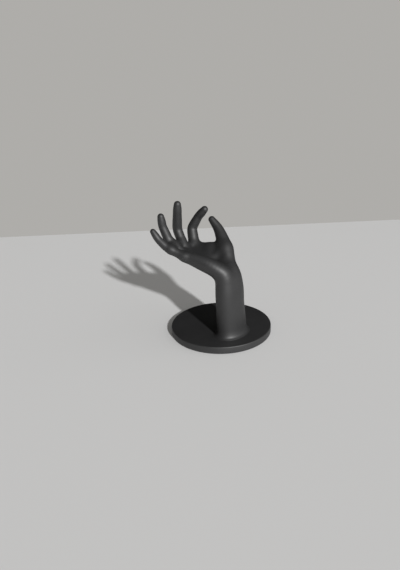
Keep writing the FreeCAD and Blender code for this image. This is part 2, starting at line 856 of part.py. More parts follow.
def foot_tools():
    """Holes in the foot for the insert with its flange, and for the pins."""
    top = size("disc_top")
    insert_bore = bore("insert_bore", foot_frame(top), "Sizes.insert_diameter + 2 * Sizes.glue_gap",
                       cell("insert_length"))
    flange_bore = bore("flange_bore", foot_frame(top), "Sizes.insert_flange_diameter + 2 * Sizes.glue_gap",
                       cell("insert_flange_height"))
    tools = [fuse("insert_hole", [insert_bore, flange_bore])]
    for number, frame in enumerate(foot_pin_frames(top), start=1):
        tools.append(bore("foot_pin_hole_%d" % number, frame, cell("foot_pin_hole_diameter"),
                          "Sizes.foot_pin_in_foot + Sizes.dowel_end_gap"))
    return tools


def make_foot_joint():
    bolt_radius = "Sizes.bolt_diameter / 2"
    hole_radius = "Sizes.bolt_diameter / 2 + Sizes.thread_gap"
    head_height = cell("bolt_head_height")
    bolt_length = "Sizes.bolt_tip - Sizes.bolt_head_base"
    bolt = turned("clamp_bolt_body", foot_frame(size("bolt_head_base")), [
        ("0", "0"),
        ("Sizes.bolt_head_diameter / 2", "0"),
        ("Sizes.bolt_head_diameter / 2", head_height),
        (bolt_radius, head_height),
        (bolt_radius, bolt_length + " - Sizes.bolt_tip_chamfer"),
        (bolt_radius + " - Sizes.bolt_tip_chamfer", bolt_length),
        ("0", bolt_length),
    ])
    pocket(bolt, "hex_socket", hexagon(bolt, "hex_outline", cell("bolt_socket_width")),
           cell("bolt_socket_depth"), True)
    keep("clamp_bolt", bolt)
    washer_radius = "Sizes.washer_diameter / 2"
    washer_bore = "Sizes.bolt_diameter / 2 + Sizes.glue_gap"
    keep("clamp_washer", turned("clamp_washer_body", foot_frame(size("washer_base")), [
        (washer_bore, "0"),
        (washer_radius, "0"),
        (washer_radius, cell("washer_thickness")),
        (washer_bore, cell("washer_thickness")),
    ]))
    flange_radius = "Sizes.insert_flange_diameter / 2"
    keep("threaded_insert", turned("threaded_insert_body", foot_frame(size("disc_top")), [
        (hole_radius, "0"),
        (flange_radius, "0"),
        (flange_radius, cell("insert_flange_height")),
        ("Sizes.insert_diameter / 2", cell("insert_flange_height")),
        ("Sizes.insert_diameter / 2", cell("insert_length")),
        (hole_radius, cell("insert_length")),
    ]))
    for number, frame in enumerate(foot_pin_frames(size("foot_pin_base")), start=1):
        name = "foot_pin_%d" % number
        keep(name, peg(name + "_body", frame, cell("foot_pin_diameter"), cell("foot_pin_length")))


def hexagon(body, name, width):
    """A regular hexagon on a body's XY plane, given by its width across flats."""
    outline = body_sketch(body, name, "XY_Plane")
    across = outline.evalExpression(width)
    corner = across / math.sqrt(3)
    points = []
    for step in range(6):
        turn = math.pi / 3 * step
        points.append(Vector(corner * math.cos(turn), corner * math.sin(turn), 0))
    lines = [Part.LineSegment(points[i], points[(i + 1) % 6]) for i in range(6)]
    outline.addGeometry(lines, False)
    guide = outline.addGeometry(Part.Circle(Vector(0, 0, 0), Z_AXIS, corner), True)
    outline.addConstraint(Sketcher.Constraint("Coincident", guide, 3, -1, 1))
    for i in range(6):
        outline.addConstraint(Sketcher.Constraint("Coincident", i, 2, (i + 1) % 6, 1))
        outline.addConstraint(Sketcher.Constraint("PointOnObject", i, 1, guide))
        if i:
            outline.addConstraint(Sketcher.Constraint("Equal", 0, i))
    outline.addConstraint(Sketcher.Constraint("PointOnObject", 0, 1, -1))
    held = outline.addConstraint(Sketcher.Constraint("Radius", guide, corner))
    outline.setExpression("Constraints[%d]" % held, "(%s) / sqrt(3)" % width)
    return outline


# Turned disc with its weight plate and felt

def rim_edges(body, level):
    """The outer edge of a turned body at a height, as the name of an edge of its tip."""
    for number, edge in enumerate(body.Shape.Edges, start=1):
        curve = edge.Curve
        if not isinstance(curve, Part.Circle):
            continue
        if abs(curve.Radius - size("disc_diameter") / 2) < MATCH and abs(curve.Center.z - level) < MATCH:
            return ["Edge%d" % number]
    raise ValueError("no rim edge at %.2f" % level)


def make_disc():
    disc = turned("base_disc_body", Placement(), [
        ("0", cell("plate_top")),
        ("Sizes.plate_diameter / 2 + Sizes.plate_gap", cell("plate_top")),
        ("Sizes.plate_diameter / 2 + Sizes.plate_gap", cell("felt_thickness")),
        ("Sizes.felt_diameter / 2 + Sizes.felt_gap", cell("felt_thickness")),
        ("Sizes.felt_diameter / 2 + Sizes.felt_gap", cell("felt_proud")),
        ("Sizes.disc_diameter / 2", cell("felt_proud")),
        ("Sizes.disc_diameter / 2", cell("disc_top")),
        ("0", cell("disc_top")),
    ])
    for name, level, radius in (("rim_top", "disc_top", "rim_top_round"),
                                ("rim_bottom", "felt_proud", "rim_bottom_round")):
        edges = rim_edges(disc, size(level))
        tip = disc.Tip
        rounding = disc.newObject("PartDesign::Fillet", name)
        rounding.Base = (tip, edges)
        bind(rounding, Radius=cell(radius))
        doc.recompute()
    well = circle_sketch(disc, "bolt_well_outline", foot_frame(size("plate_top")), [
        ("0", "Sizes.bolt_well_diameter"),
    ])
    pocket(disc, "bolt_well", well, "Sizes.washer_top - Sizes.plate_top", True)
    hole = circle_sketch(disc, "bolt_hole_outline", foot_frame(size("disc_top")), [
        ("0", "Sizes.bolt_hole_diameter"),
    ])
    pocket(disc, "bolt_hole", hole, cell("disc_thickness"), False)
    pins = circle_sketch(disc, "foot_pin_outline", foot_frame(size("disc_top")), [
        ("Sizes.foot_pin_spacing / 2", "Sizes.foot_pin_hole_diameter"),
        ("-Sizes.foot_pin_spacing / 2", "Sizes.foot_pin_hole_diameter"),
    ])
    pocket(disc, "foot_pin_holes", pins, "Sizes.foot_pin_in_disc + Sizes.dowel_end_gap", False)
    pilot = circle_sketch(disc, "screw_pilot_outline", first_screw_frame("plate_top"), [
        ("Sizes.plate_screw_circle / 2", "Sizes.screw_diameter + 2 * Sizes.screw_gap"),
    ])
    pilot_depth = "Sizes.screw_tip + Sizes.dowel_end_gap - Sizes.plate_top"
    pilot_hole = pocket(disc, "screw_pilot", pilot, pilot_depth, True)
    repeat_round(disc, "screw_pilots", [pilot_hole])
    keep("base_disc", disc)


def first_screw_turn():
    """The first plate screw lies opposite the foot, so that none of them meets the bolt or the pins."""
    return math.degrees(math.atan2(-size("foot_along"), -size("foot_across")))


def first_screw_frame(level):
    """The plane of a level, turned so that its X axis points at the first plate screw."""
    return Placement(Z_AXIS * size(level), Rotation(Z_AXIS, first_screw_turn()))


def repeat_round(body, name, features):
    """Repeat features for all plate screws about the disc's axis."""
    pattern = body.newObject("PartDesign::PolarPattern", name)
    pattern.Originals = features
    for feature in body.Origin.OriginFeatures:
        if feature.Role == "Z_Axis":
            pattern.Axis = (feature, [""])
    pattern.Angle = 360
    pattern.Occurrences = PLATE_SCREW_COUNT
    body.Tip = pattern
    doc.recompute()


def make_plate():
    """Steel weight plate with a hole round the bolt's well and countersunk holes for its screws."""
    radius = "Sizes.plate_diameter / 2"
    plate = turned("weight_plate_body", Placement(Z_AXIS * size("felt_thickness"), Rotation()), [
        ("0", "0"),
        (radius, "0"),
        (radius, cell("plate_thickness")),
        ("0", cell("plate_thickness")),
    ])
    well = circle_sketch(plate, "plate_well_outline", foot_frame(0), [("0", "Sizes.bolt_well_diameter")])
    pocket(plate, "plate_well", well, cell("plate_thickness"), True)
    sink = plate.newObject("PartDesign::SubtractiveCone", "countersink")
    sink.AttachmentSupport = [(origin_plane(plate, "XY_Plane"), "")]
    sink.MapMode = "FlatFace"
    turn = Rotation(Z_AXIS, first_screw_turn())
    reach = turn.multVec(X_AXIS * (size("plate_screw_circle") / 2))
    sink.AttachmentOffset = Placement(reach, turn)
    gap = "Sizes.screw_gap"
    bind(sink, Radius1="Sizes.screw_head_diameter / 2 + Sizes.screw_head_recess + " + gap,
         Radius2="Sizes.screw_diameter / 2 + " + gap,
         Height="Sizes.screw_head_height + Sizes.screw_head_recess")
    doc.recompute()
    shank = circle_sketch(plate, "plate_shank_outline", Placement(Vector(0, 0, 0), turn), [
        ("Sizes.plate_screw_circle / 2", "Sizes.screw_diameter + 2 * " + gap),
    ])
    shank_hole = pocket(plate, "plate_shank_hole", shank, cell("plate_thickness"), True)
    repeat_round(plate, "plate_screw_holes", [sink, shank_hole])
    keep("weight_plate", plate)


def make_plate_screws():
    shank_radius = "Sizes.screw_diameter / 2"
    for number in range(PLATE_SCREW_COUNT):
        turn = Rotation(Z_AXIS, first_screw_turn() + 360 / PLATE_SCREW_COUNT * number)
        place = turn.multVec(X_AXIS * (size("plate_screw_circle") / 2)) + Z_AXIS * size("screw_head_base")
        name = "plate_screw_%d" % (number + 1)
        screw = turned(name + "_body", Placement(place, turn), [
            ("0", "0"),
            ("Sizes.screw_head_diameter / 2", "0"),
            (shank_radius, cell("screw_head_height")),
            (shank_radius, "Sizes.screw_length - Sizes.screw_tip_length"),
            ("0", cell("screw_length")),
        ])
        slit = slot_sketch(screw, name + "_slit")
        pocket(screw, name + "_drive", slit, cell("screw_slot_depth"), True)
        keep(name, screw)


def slot_sketch(body, name):
    """The rectangle of a screwdriver slot across a screw's head."""
    outline = body_sketch(body, name, "XY_Plane")
    half_length = size("screw_head_diameter") / 2
    half_width = size("screw_slot_width") / 2
    corners = [Vector(-half_length, -half_width, 0), Vector(half_length, -half_width, 0),
               Vector(half_length, half_width, 0), Vector(-half_length, half_width, 0)]
    outline.addGeometry([Part.LineSegment(corners[i], corners[(i + 1) % 4]) for i in range(4)], False)
    for i in range(4):
        outline.addConstraint(Sketcher.Constraint("Coincident", i, 2, (i + 1) % 4, 1))
        outline.addConstraint(Sketcher.Constraint("Vertical" if i % 2 else "Horizontal", i))
    outline.addConstraint(Sketcher.Constraint("Symmetric", 0, 1, 1, 2, -1, 1))
    length = outline.addConstraint(Sketcher.Constraint("DistanceX", 0, 1, 0, 2, 2 * half_length))
    width = outline.addConstraint(Sketcher.Constraint("DistanceY", 1, 1, 1, 2, 2 * half_width))
    outline.setExpression("Constraints[%d]" % length, cell("screw_head_diameter"))
    outline.setExpression("Constraints[%d]" % width, cell("screw_slot_width"))
    return outline


def make_felt():
    radius = "Sizes.felt_diameter / 2"
    keep("felt_pad", turned("felt_pad_body", Placement(), [
        ("0", "0"),
        (radius, "0"),
        (radius, cell("felt_thickness")),
        ("0", cell("felt_thickness")),
    ]))


def check_and_export():
    """Stop on any broken feature or empty piece, then write one file for each piece."""
    doc.recompute()
    for thing in doc.Objects:
        if "Invalid" in thing.State or "Error" in thing.State:
            raise ValueError("broken feature: %s (%s)" % (thing.Label, thing.getStatusString()))
    os.makedirs("parts", exist_ok=True)
    for piece in PIECES:
        shape = piece.Shape
        if shape.isNull() or not shape.isValid() or len(shape.Solids) != 1:
            raise ValueError("bad shape: " + piece.Label)
        shape.exportStep("parts/%s.step" % piece.Label)
        print("%-16s %10.1f mm3" % (piece.Label, shape.Volume))


make_disc()
make_felt()
make_plate()
make_plate_screws()
make_foot_joint()
make_hand()
check_and_export()
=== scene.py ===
# %% [markdown]
# This lesson dresses the packed model of a display hand: a carved right hand in black lacquer, palm up,
# with its wrist bent back, standing on a turned disc. The packed model gives the frame, in metres, with
# the disc's underside at the origin. Its inner pieces are kept as they are and only get materials. The
# hand's blocks get one continuous skin, because filler and lacquer hide their joints on the real thing.

# %% Load the packed model, with a way to read a part's box
import json
import math
import bmesh
import bpy
import numpy as np
import openvdb
from mathutils import Matrix, Vector


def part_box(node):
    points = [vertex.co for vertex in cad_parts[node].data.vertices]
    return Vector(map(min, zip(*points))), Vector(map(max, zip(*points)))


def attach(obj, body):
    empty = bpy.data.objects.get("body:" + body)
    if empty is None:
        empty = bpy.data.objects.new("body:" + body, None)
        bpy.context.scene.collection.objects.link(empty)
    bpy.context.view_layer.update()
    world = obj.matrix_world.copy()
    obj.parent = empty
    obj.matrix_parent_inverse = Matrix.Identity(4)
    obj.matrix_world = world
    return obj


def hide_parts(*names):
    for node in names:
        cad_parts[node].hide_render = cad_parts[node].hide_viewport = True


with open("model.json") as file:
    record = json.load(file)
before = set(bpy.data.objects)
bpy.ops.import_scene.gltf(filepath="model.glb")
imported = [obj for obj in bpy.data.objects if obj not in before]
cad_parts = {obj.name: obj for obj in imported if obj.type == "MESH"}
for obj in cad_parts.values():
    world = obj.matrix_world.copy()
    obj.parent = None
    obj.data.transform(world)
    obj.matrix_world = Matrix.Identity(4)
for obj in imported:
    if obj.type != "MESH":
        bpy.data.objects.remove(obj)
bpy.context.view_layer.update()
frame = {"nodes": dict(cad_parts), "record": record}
nodes = frame["nodes"]
MM = 0.001
print("packed nodes:", len(nodes))

# %% [markdown]
# The skin starts from bones, as an artist's wire model does. A small frame at the wrist says where the
# palm points and how it is rolled. Everything in the hand is then told by how far it lies to the thumb's
# side, towards the fingers, and out of the palm, in millimetres.

# %% The palm's own frame
def direction(turn_degrees, rise_degrees):
    """A direction that is turned from -X towards +Y and then raised from level."""
    turn = math.radians(turn_degrees)
    rise = math.radians(rise_degrees)
    return Vector((-math.cos(turn) * math.cos(rise), math.sin(turn) * math.cos(rise), math.sin(rise)))


WRIST = Vector((11.8, -41.6, 120.0))
PALM_TURN = 35.0
PALM_RISE = 17.0
PALM_ROLL = math.radians(11.0)
REACH = direction(PALM_TURN, PALM_RISE)
upright = direction(PALM_TURN, PALM_RISE + 90)
OUT = upright * math.cos(PALM_ROLL) + REACH.cross(upright) * math.sin(PALM_ROLL)
SIDE = REACH.cross(OUT)


def way(side, reach, out):
    """A direction told in the palm's frame."""
    return SIDE * side + REACH * reach + OUT * out


def in_hand(side, reach, out):
    """A point told in the palm's frame, from the wrist."""
    return WRIST + way(side, reach, out)


print("palm reaches along", [round(part, 2) for part in REACH])

# %% [markdown]
# A finger bends in one plane. Its spread turns that plane in the palm, its twist leans it over, and each
# of its three bends adds to the ones before. The thumb starts higher up and has a plane of its own. Real
# fingers don't keep to one plane, so a few joints are moved over a little afterwards. Angles are in degrees.

# %% Joints of the fingers and the thumb
def chain(root, straight, curl, bends, bones):
    """Joints from the root to the tip, each bone bent on from the one before, towards the curl."""
    joints = [root]
    bend = 0.0
    for step, bone in zip(bends, bones):
        bend += math.radians(step)
        joints.append(joints[-1] + (straight * math.cos(bend) + curl * math.sin(bend)) * bone)
    return joints


def finger(root, spread, twist, bends, bones):
    spread = math.radians(spread)
    twist = math.radians(twist)
    straight = way(math.sin(spread), math.cos(spread), 0)
    sideways = way(math.cos(spread), -math.sin(spread), 0)
    curl = OUT * math.cos(twist) + sideways * math.sin(twist)
    return chain(in_hand(*root), straight, curl, bends, bones)


def thumb(root, spread, rise, plane, bends, bones):
    spread = math.radians(spread)
    rise = math.radians(rise)
    plane = math.radians(plane)
    straight = way(math.cos(rise) * math.sin(spread), math.cos(rise) * math.cos(spread), math.sin(rise))
    inward = (-SIDE - straight * straight.dot(-SIDE)).normalized()
    curl = inward * math.cos(plane) + straight.cross(inward) * math.sin(plane)
    return chain(in_hand(*root), straight, curl, bends, bones)


INDEX = finger(root=(25.0, 81.0, 0.0), spread=13.0, twist=-1.0,
               bends=(54.0, 49.5, 15.0), bones=(41.0, 24.6, 17.9))
MIDDLE = finger(root=(3.5, 83.0, -1.5), spread=15.5, twist=-21.0,
                bends=(47.0, 43.0, 1.0), bones=(43.8, 27.9, 17.9))
RING = finger(root=(-16.0, 77.0, -0.5), spread=-8.5, twist=-15.5,
              bends=(24.0, 28.0, 17.0), bones=(37.3, 23.6, 16.4))
LITTLE = finger(root=(-33.0, 69.0, 3.0), spread=-15.5, twist=-4.0,
                bends=(6.5, 16.5, 14.0), bones=(31.3, 18.0, 15.6))
THUMB = thumb(root=(15.0, 12.0, 10.5), spread=30.5, rise=36.5, plane=-18.0,
              bends=(0.0, 10.0, 23.0), bones=(39.6, 27.9, 18.9))
INDEX[0] -= SIDE * 2.0
INDEX[1] -= SIDE
MIDDLE[0] -= SIDE * 4.0
LITTLE[0] += OUT * 0.6
FINGERS = [INDEX, MIDDLE, RING, LITTLE]
# Radii at each finger's four joints, from root to tip, and at the thumb's joints after its root
FINGER_RADII = [(8.7, 8.5, 7.1, 5.8), (8.0, 8.2, 7.3, 5.8), (8.1, 7.8, 6.8, 5.4), (7.2, 6.9, 6.0, 4.6)]
THUMB_RADII = (11.4, 8.3, 5.8)
print("index fingertip at", [round(part) for part in INDEX[-1]], "mm")

# %% [markdown]
# Carved flesh has no seams, so the skin isn't joined from tubes. Each form is a distance: a function that
# tells how far any point lies from its surface, less than nought inside. Two forms melt together when the
# smaller distance is taken with a rounded corner. Where the melted distance is nought, there is the skin.
# A limb is the tight wrap of two balls, so limbs that share a ball run on into each other without a rib.

# %% Distances to simple forms
# A point that no form can reach counts as this far away, in millimetres
FAR = 30.0
SHORTEST_LIMB = 0.01


def melt(first, second, blend):
    """The smaller of two distances, with the corner between them rounded over the blend's width."""
    share = np.clip(0.5 + 0.5 * (second - first) / blend, 0, 1)
    return second * (1 - share) + first * share - blend * share * (1 - share)


def limb(points, start, end, start_radius, end_radius):
    """Distance to a straight limb that wraps a ball at each end, one of them perhaps thicker."""
    start = np.array(start, np.float32)
    span = np.array(end, np.float32) - start
    length = float(np.linalg.norm(span))
    taper = (start_radius - end_radius) / length
    lean = taper / math.sqrt(1 - taper * taper)
    offset = points - start
    along = offset @ (span / length)
    beside = np.sqrt(np.maximum((offset * offset).sum(-1) - along * along, 0))
    share = np.clip((along - beside * lean) / length, 0, 1)
    radius = start_radius + share * (end_radius - start_radius)
    return np.hypot(beside, along - share * length) - radius


def flap(points, corners, radii):
    """Distance to a flap of flesh between three balls."""
    first, second, third = (np.array(corner, np.float32) for corner in corners)
    result = limb(points, first, second, radii[0], radii[1])
    result = np.minimum(result, limb(points, second, third, radii[1], radii[2]))
    result = np.minimum(result, limb(points, third, first, radii[2], radii[0]))
    normal = np.cross(second - first, third - first)
    area = float(np.linalg.norm(normal))
    normal = normal / area
    offset = points - first
    share_2 = offset @ np.cross(third - first, normal) / area
    share_3 = offset @ np.cross(normal, second - first) / area
    share_1 = 1 - share_2 - share_3
    inside = (share_1 > 0) & (share_2 > 0) & (share_3 > 0)
    flat = np.abs(offset @ normal) - (share_1 * radii[0] + share_2 * radii[1] + share_3 * radii[2])
    return np.where(inside, np.minimum(flat, result), result)


def rounded_path(points, radii, steps=5):
    """Points with radii, their corners cut by curves; the radius is treated as a fourth coordinate."""
    stops = [np.array((*point, radius), float) for point, radius in zip(points, radii)]
    path = [stops[0]]
    for before, here, after in zip(stops, stops[1:], stops[2:]):
        length_before = np.linalg.norm(here[:3] - before[:3])
        length_after = np.linalg.norm(after[:3] - here[:3])
        cut = min(length_before, length_after) / 2
        start = here + (before - here) * (cut / length_before)
        end = here + (after - here) * (cut / length_after)
        for step in range(steps + 1):
            share = step / steps
            path.append(start * (1 - share) ** 2 + here * (2 * share * (1 - share)) + end * share ** 2)
    path.append(stops[-1])
    return path


def tube(points, path):
    """Distance to a tube along a path of points with radii."""
    result = np.full(points.shape[:-1], FAR, np.float32)
    for first, second in zip(path, path[1:]):
        if np.linalg.norm(second[:3] - first[:3]) > SHORTEST_LIMB:
            result = np.minimum(result, limb(points, first[:3], second[:3], first[3], second[3]))
    return result


def smooth_through(position, stations, values):
    """A curve without corners through values that are given at a few stations."""
    stations = np.array(stations, float)
    values = np.array(values, float)
    slopes = np.gradient(values, stations)
    position = np.clip(position, stations[0], stations[-1])
    span = np.clip(np.searchsorted(stations, position, side="right") - 1, 0, len(stations) - 2)
    width = stations[span + 1] - stations[span]
    step = (position - stations[span]) / width
    rest = 1 - step
    return (values[span] * (1 + 2 * step) * rest * rest + values[span + 1] * step * step * (1 + 2 * rest)
            + width * step * rest * (slopes[span] * rest - slopes[span + 1] * step))


test = np.array([[0.0, 0.0, 5.0]], np.float32)
print("5 mm beside a 2 mm limb:", float(limb(test, (-9, 0, 0), (9, 0, 0), 2, 2)[0]), "mm")

# %% [markdown]
# The forearm is a long oval that stands on the disc. Its width, its depth and the place of its middle
# change gently with height. The foot flares and ends in a small fillet, where filler would run out on the
# disc, and its sole is sunk so that no thin edge shows. The palm is a flat oval that is cupped a little, and
# that ends along the slanted line of the knuckles.

# %% Forearm and palm
disc_low, disc_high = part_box("base_disc")
DISC_TOP = disc_high.z / MM
SOLE = DISC_TOP - 1.2
FOOT_TURN = math.radians(47.0)
FOOT_FLARE = 3.0
FLARE_HEIGHT = 14.0
FOOT_FILLET = 3.2
FILLET_POWER = 9
SQUARENESS = 2.15
CAP_RADIUS = 14.0
CAP_START = 114.0
# Heights on the forearm, with the oval's middle and half sizes at each
ARM_HEIGHTS = (DISC_TOP, 34.2, 55.6, 77.1, 98.5, CAP_START, 126.0)
ARM_MIDDLE_X = (16.6, 16.0, 14.8, 13.8, 13.2, 11.9, 11.6)
ARM_MIDDLE_Y = (-34.8, -36.0, -39.0, -41.2, -41.6, -40.5, -40.5)
ARM_HALF_WIDTHS = (29.4, 29.2, 28.1, 27.2, 25.8, 22.4, 16.0)
ARM_HALF_DEPTHS = (20.2, 19.8, 19.0, 18.2, 16.9, 14.0, 9.0)
# Places along the palm from the wrist, with its middle, its half sizes and the rise of its edges at each
PALM_START = 4.0
PALM_PLACES = (0.0, 20.0, 40.0, 60.0, 78.0)
PALM_MIDDLE_SIDE = (0.0, -2.0, -2.8, -2.2, -2.4)
PALM_MIDDLE_OUT = (0.0, 0.5, 0.5, 0.7, 1.0)
PALM_HALF_WIDTHS = (17.0, 22.0, 27.6, 31.2, 33.6)
PALM_HALF_DEPTHS = (9.0, 9.4, 9.2, 8.4, 7.6)
PALM_CUP = (0.0, 1.5, 2.5, 2.5, 1.5)
# How far the knuckles are from the wrist, at four places across the palm
KNUCKLE_SIDES = (-33.0, -16.0, 3.5, 25.0)
KNUCKLE_REACHES = (60.0, 73.0, 79.0, 78.0)
LEAST_SHARE = 1e-3


def oval(across, along, half_width, half_depth):
    """Distance to an oval that is a little squarer than an ellipse, exact near its edge."""
    across_share = np.maximum(np.abs(across) / half_width, LEAST_SHARE)
    along_share = np.maximum(np.abs(along) / half_depth, LEAST_SHARE)
    size = (across_share ** SQUARENESS + along_share ** SQUARENESS) ** (1 / SQUARENESS)
    slope = np.hypot((across_share / size) ** (SQUARENESS - 1) / half_width,
                     (along_share / size) ** (SQUARENESS - 1) / half_depth)
    return (size - 1) / slope


def forearm(points):
    """Distance to the forearm, from its flared foot to its rounded upper end."""
    height = points[..., 2]
    from_x = points[..., 0] - smooth_through(height, ARM_HEIGHTS, ARM_MIDDLE_X)
    from_y = points[..., 1] - smooth_through(height, ARM_HEIGHTS, ARM_MIDDLE_Y)
    across = from_x * math.cos(FOOT_TURN) + from_y * math.sin(FOOT_TURN)
    along = from_y * math.cos(FOOT_TURN) - from_x * math.sin(FOOT_TURN)
    half_width = smooth_through(height, ARM_HEIGHTS, ARM_HALF_WIDTHS)
    half_depth = smooth_through(height, ARM_HEIGHTS, ARM_HALF_DEPTHS)
    near_sole = np.clip(1 - (height - DISC_TOP) / FLARE_HEIGHT, 0, 1)
    flare = FOOT_FLARE * near_sole ** 2 + FOOT_FILLET * near_sole ** FILLET_POWER
    beside = oval(across, along, half_width, half_depth) - flare
    above = height - CAP_START
    cap = np.hypot(np.maximum(beside + CAP_RADIUS, 0), above) - CAP_RADIUS
    return np.where(above > 0, cap, beside)


def palm(points):
    """Distance to the cupped palm, worked out in its own frame."""
    offset = points - np.array(WRIST, np.float32)
    hand_side, reach, hand_out = (offset @ np.array(axis, np.float32) for axis in (SIDE, REACH, OUT))
    side = hand_side - smooth_through(reach, PALM_PLACES, PALM_MIDDLE_SIDE)
    half_width = smooth_through(reach, PALM_PLACES, PALM_HALF_WIDTHS)
    half_depth = smooth_through(reach, PALM_PLACES, PALM_HALF_DEPTHS)
    edge_rise = smooth_through(reach, PALM_PLACES, PALM_CUP) * np.clip(np.abs(side) / half_width, 0, 1) ** 2
    out = hand_out - smooth_through(reach, PALM_PLACES, PALM_MIDDLE_OUT) - edge_rise
    knuckles = smooth_through(hand_side, KNUCKLE_SIDES, KNUCKLE_REACHES)
    straight = np.maximum(np.abs(side) - (half_width - half_depth), 0)
    beyond = np.maximum(reach - knuckles, 0) + np.minimum(reach - PALM_START, 0)
    return np.sqrt(straight ** 2 + out ** 2 + beyond ** 2) - half_depth


palm_depth = -float(palm(np.array([in_hand(0, 40, 0)], np.float32))[0])
print("the palm's middle lies", round(palm_depth, 1), "mm under its skin")

# %% [markdown]
# Pads, webs and digits are limbs, tubes of limbs, and flaps between named points. The list keeps each form
# with its blend, the width over which it melts into the forms before it: wide for flesh on the palm, narrow
# for the fingers.

# %% All forms of the hand
forms = []
BOX_SPARE = 2.0


def between(first, second, share):
    return first * (1 - share) + second * share


def add_form(distance, corners, radius, blend):
    """Keep a form's distance with the low and high corner of all that it can reach, and its blend."""
    corners = np.array([tuple(corner) for corner in corners])
    margin = radius + blend + BOX_SPARE
    forms.append((distance, corners.min(0) - margin, corners.max(0) + margin, blend))


def add_limb(start, end, radius, blend):
    add_form(lambda points: limb(points, start, end, radius, radius), (start, end), radius, blend)


def add_tube(points, radii, blend):
    path = rounded_path(points, radii)
    add_form(lambda points: tube(points, path), points, max(radii), blend)


def add_flap(corners, radii, blend):
    add_form(lambda points: flap(points, corners, radii), corners, max(radii), blend)


def with_pads(joints, radii, swells):
    """Joints and radii with one more point in each bone, where the flesh swells between two joints."""
    points, sizes = [joints[0]], [radii[0]]
    for number, swell in enumerate(swells):
        points += [between(joints[number], joints[number + 1], 0.5), joints[number + 1]]
        sizes += [(radii[number] + radii[number + 1]) / 2 + swell, radii[number + 1]]
    return points, sizes


def add_arm_and_palm():
    """The two large forms, each with the corners of a box that holds it."""
    arm_box = (Vector((-20, -75, 0)), Vector((45, -8, 125)))
    add_form(forearm, arm_box, radius=20, blend=1)
    palm_box = [in_hand(side, reach, out) for side in (-42, 40) for reach in (-8, 92) for out in (-14, 18)]
    add_form(palm, palm_box, radius=4, blend=12)


def add_outer_side():
    """The long pad from the forearm over the heel of the hand to the little finger."""
    arm = Vector((6.2, -48.9, 82.0))
    wrist = in_hand(-11.0, -1.0, 0.0)
    heel = in_hand(-22.0, 21.7, 6.4)
    pad = in_hand(-25.8, 47.4, 7.6)
    add_tube((arm, wrist, heel, pad, LITTLE[0]), (9.0, 12.8, 11.6, 8.8, 4.5), blend=12)


def add_thumb():
    """The thumb with its ball, from the forearm to its tip."""
    arm = Vector((19.8, -34.3, 82.0))
    wrist = in_hand(9.5, -1.0, 0.0)
    ball = between(THUMB[0], THUMB[1], 0.5) + OUT * 1.5
    radii = (9.0, 12.2, 12.2, 12.8, *THUMB_RADII)
    add_tube((arm, wrist, THUMB[0] - OUT, ball, *THUMB[1:]), radii, blend=15)


def add_thumb_web():
    """Two flaps that fill the bow between thumb and index finger."""
    web_edge = in_hand(25.0, 56.3, 17.2)
    palm_middle = in_hand(6.0, 44.0, -1.0)
    thumb_side = between(THUMB[0], THUMB[1], 0.72)
    index_side = between(INDEX[0], INDEX[1], 0.25)
    add_flap((thumb_side, web_edge, palm_middle), (9.5, 8.3, 8.0), blend=10)
    add_flap((web_edge, index_side, palm_middle), (8.3, 8.4, 8.0), blend=9)


def add_fingers():
    pad_swells = [(1.0, 0.2, 0.7), (-0.1, 0.3, 0.7), (0.3, 0.2, 0.7), (0.2, 0.2, 0.6)]
    for joints, radii, swells in zip(FINGERS, FINGER_RADII, pad_swells):
        add_tube(*with_pads(joints, radii, swells), blend=8)


def add_finger_webs():
    """A short limb between the first bones of each two neighbours."""
    shares = [(0.30, 0.26), (0.48, 0.60), (0.66, 0.74)]
    for first, second, (first_share, second_share) in zip(FINGERS, FINGERS[1:], shares):
        start = between(first[0], first[1], first_share)
        end = between(second[0], second[1], second_share)
        add_limb(start, end, radius=6.6, blend=5)


add_arm_and_palm()
add_outer_side()
add_thumb()
add_thumb_web()
add_fingers()
add_finger_webs()
print("forms in the hand:", len(forms))

# %% [markdown]
# A fine grid of cells is filled with the melted distance, form by form, and only in the cells round each
# form, which keeps it quick. Then the surface between the inside and outside cells is drawn as quads, and
# each of its corners slides the steepest way, a few times, to where the distance is nought.

# %% From distances to a skin
SKIN_STEP = 1.0
SKIN_LOW = np.array((-118.0, -82.0, 8.0))
SKIN_HIGH = np.array((56.0, 66.0, 238.0))
SETTLING_TURNS = 3
# The slope is measured this far to both sides, and its square is never divided by less than this
PROBE = 0.2
LEAST_STEEPNESS = 0.2


def skin_distance(points):
    """The melted distance at any points, with the flat sole that stands on the disc."""
    result = np.full(points.shape[:-1], FAR, np.float32)
    for distance, low, high, blend in forms:
        near = np.all((points > low) & (points < high), axis=-1)
        result[near] = melt(result[near], distance(points[near]), blend)
    return np.maximum(result, SOLE - points[..., 2])


def grid_distance(low, high, step):
    """The same distance in all cells of a grid, each form only where it can reach."""
    counts = np.ceil((high - low) / step).astype(int) + 1
    axes = [low[axis] + step * np.arange(counts[axis]) for axis in range(3)]
    values = np.full(counts, FAR, np.float32)
    for distance, form_low, form_high, blend in forms:
        cells = []
        for axis in range(3):
            start, stop = np.searchsorted(axes[axis], (form_low[axis], form_high[axis]))
            cells.append(slice(start, stop))
        points = np.stack(np.meshgrid(*(axes[axis][cells[axis]] for axis in range(3)), indexing="ij"), -1)
        region = tuple(cells)
        values[region] = melt(values[region], distance(points.astype(np.float32)), blend)
    return np.maximum(values, SOLE - axes[2])


def draw_skin(low, high, step):
    grid = openvdb.FloatGrid(FAR)
    grid.copyFromArray(grid_distance(low, high, step))
    points, quads = grid.convertToQuads(isovalue=0.0)
    return points * step + low, quads


